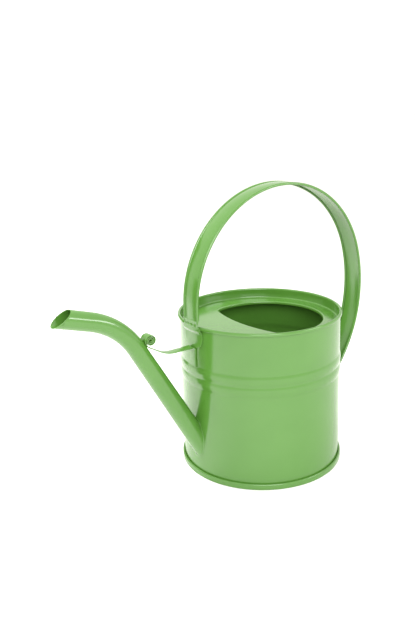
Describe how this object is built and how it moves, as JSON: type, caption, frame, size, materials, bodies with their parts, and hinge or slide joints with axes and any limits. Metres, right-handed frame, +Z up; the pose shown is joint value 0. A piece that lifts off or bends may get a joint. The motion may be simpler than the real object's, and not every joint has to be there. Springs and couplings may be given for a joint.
{
  "type": "watering can",
  "caption": "Painted sheet-steel indoor watering can: round body with swaged beads, D-shaped filler in a recessed top, long bent spout, scrolled brace and a large hoop handle.",
  "frame": {"origin": "centre of the underside, on the axis of the round can, on the surface that it stands on", "axes": "+X along the spout, +Z up, +Y to the left of the spout; the handle lies in the XZ plane"},
  "size_m": [0.3294, 0.1544, 0.2611],
  "materials": {
    "body_paint": "glossy green paint on the outside and the inside",
    "base_paint": "glossy green paint",
    "top_paint": "glossy green paint",
    "spout_paint": "glossy green paint",
    "solder_paint": "glossy green paint over soft solder",
    "handle_paint": "glossy green paint",
    "brace_paint": "glossy green paint",
    "weld_steel": "bare spot welds, hidden between the sheets"
  },
  "bodies": {
    "root": {"body_shell": "body_paint", "base_plate": "base_paint", "top_plate": "top_paint", "spout_tube": "spout_paint", "spout_solder": "solder_paint", "handle_strap": "handle_paint", "handle_front_welds": "weld_steel", "handle_rear_welds": "weld_steel", "brace_strap": "brace_paint", "brace_leg_weld": "weld_steel", "brace_scroll_weld": "solder_paint"}
  },
  "joints": []
}
